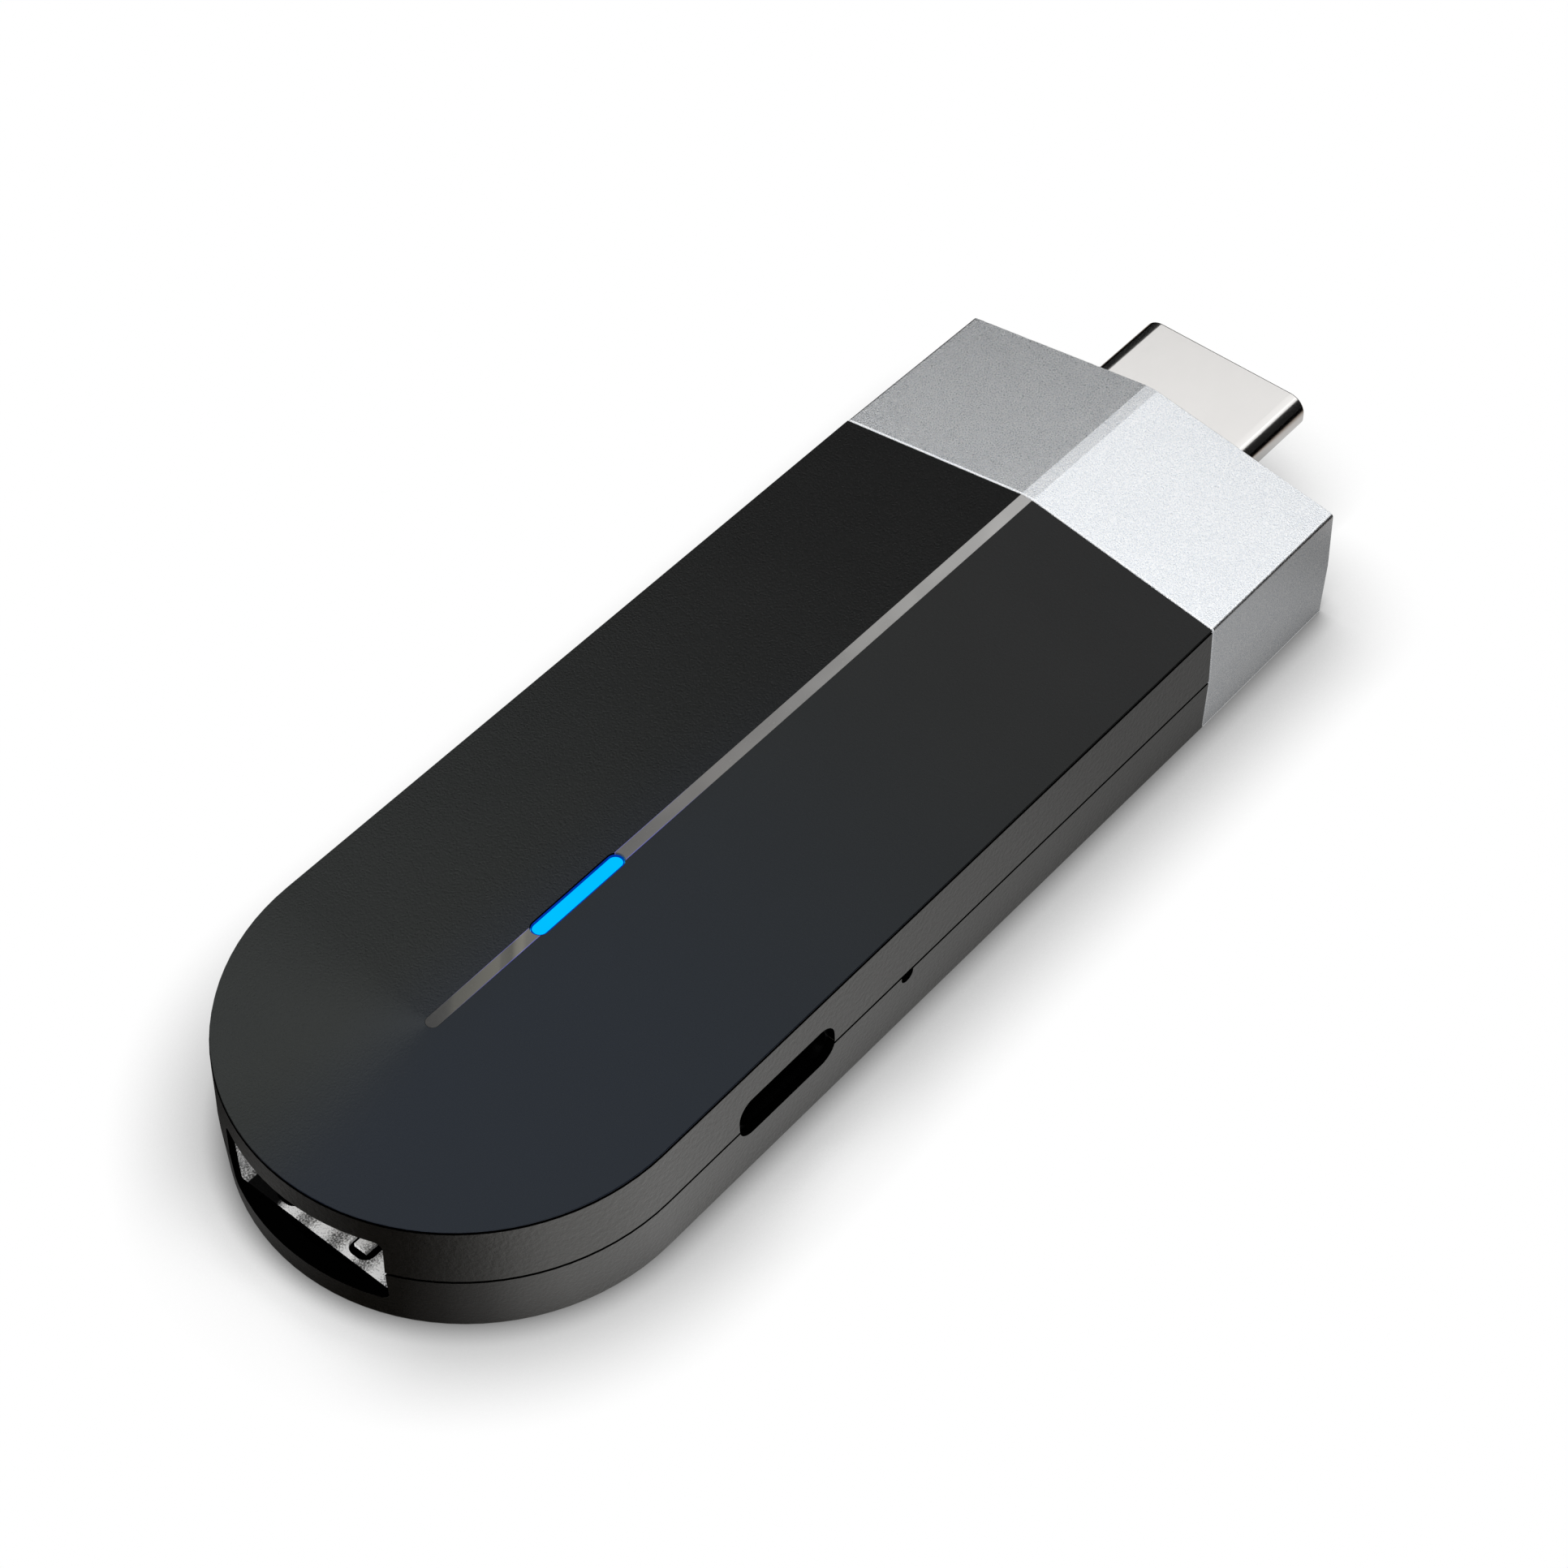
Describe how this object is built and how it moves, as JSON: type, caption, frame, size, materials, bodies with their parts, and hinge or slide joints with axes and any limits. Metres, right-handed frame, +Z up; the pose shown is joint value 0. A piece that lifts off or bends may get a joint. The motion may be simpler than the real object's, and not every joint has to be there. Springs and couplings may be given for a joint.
{
  "type": "streaming media stick",
  "caption": "Slim media stick with a gabled roof, one round end, a metal cap with a video plug, a flat socket in the round end, a side power socket and a lit window in a ridge strip.",
  "frame": {"origin": "middle of the bounding box, on the underside", "axes": "+X along the length towards the video plug, +Z up out of the ridge, -Y towards the side with the power socket and the pinhole"},
  "size_m": [0.0947, 0.0318, 0.0121],
  "materials": {
    "case_top": "fine matt texture",
    "case_side": "matt, slightly warm",
    "cap_metal": "fine blasted and anodised",
    "strip_grey": "smooth satin",
    "lens": "clear smooth, tinted by the lamp behind it",
    "dark_resin": "moulded, fine grain",
    "led_package": "smooth",
    "board_green": "satin solder mask",
    "screw_steel": "zinc plated",
    "pad_rubber": "soft matt",
    "spreader_metal": "plain drawn",
    "ferrite": "sintered",
    "ceramic_tan": "fired",
    "bright_metal": "tin plated",
    "ceramic_white": "fired",
    "connector_metal": "nickel plated",
    "contact_gold": "gold plated",
    "button_grey": "moulded"
  },
  "bodies": {
    "stick": {"top_cover": "case_top", "middle_frame": "case_side", "lower_shell": "case_side", "end_cap": "cap_metal", "long_strip": "strip_grey", "short_strip": "strip_grey", "status_lens": "lens", "light_shield": "dark_resin", "status_leds": "led_package", "main_board": "board_green", "board_screws": "screw_steel", "processor": "dark_resin", "thermal_pad": "pad_rubber", "heat_spreader": "spreader_metal", "memory_chips": "dark_resin", "storage_chip": "dark_resin", "power_chip": "dark_resin", "inductors": "ferrite", "capacitors": "ceramic_tan", "crystal": "bright_metal", "radio_shield": "bright_metal", "chip_antenna": "ceramic_white", "plug_shell": "connector_metal", "plug_insulator": "dark_resin", "plug_contacts": "contact_gold", "data_socket_shell": "connector_metal", "data_socket_tongue": "dark_resin", "data_socket_contacts": "contact_gold", "power_socket_shell": "connector_metal", "power_socket_tongue": "dark_resin", "power_socket_contacts": "contact_gold", "reset_housing": "dark_resin", "reset_cover": "bright_metal", "reset_dome": "contact_gold"},
    "plunger": {"reset_plunger": "button_grey"}
  },
  "joints": [
    {"name": "reset_press", "type": "slide", "parent": "stick", "child": "plunger", "axis": [0, 1, 0], "range_m": [0, 0.00025], "stiffness_N_per_m": 6000, "springref_m": -0.00005}
  ]
}
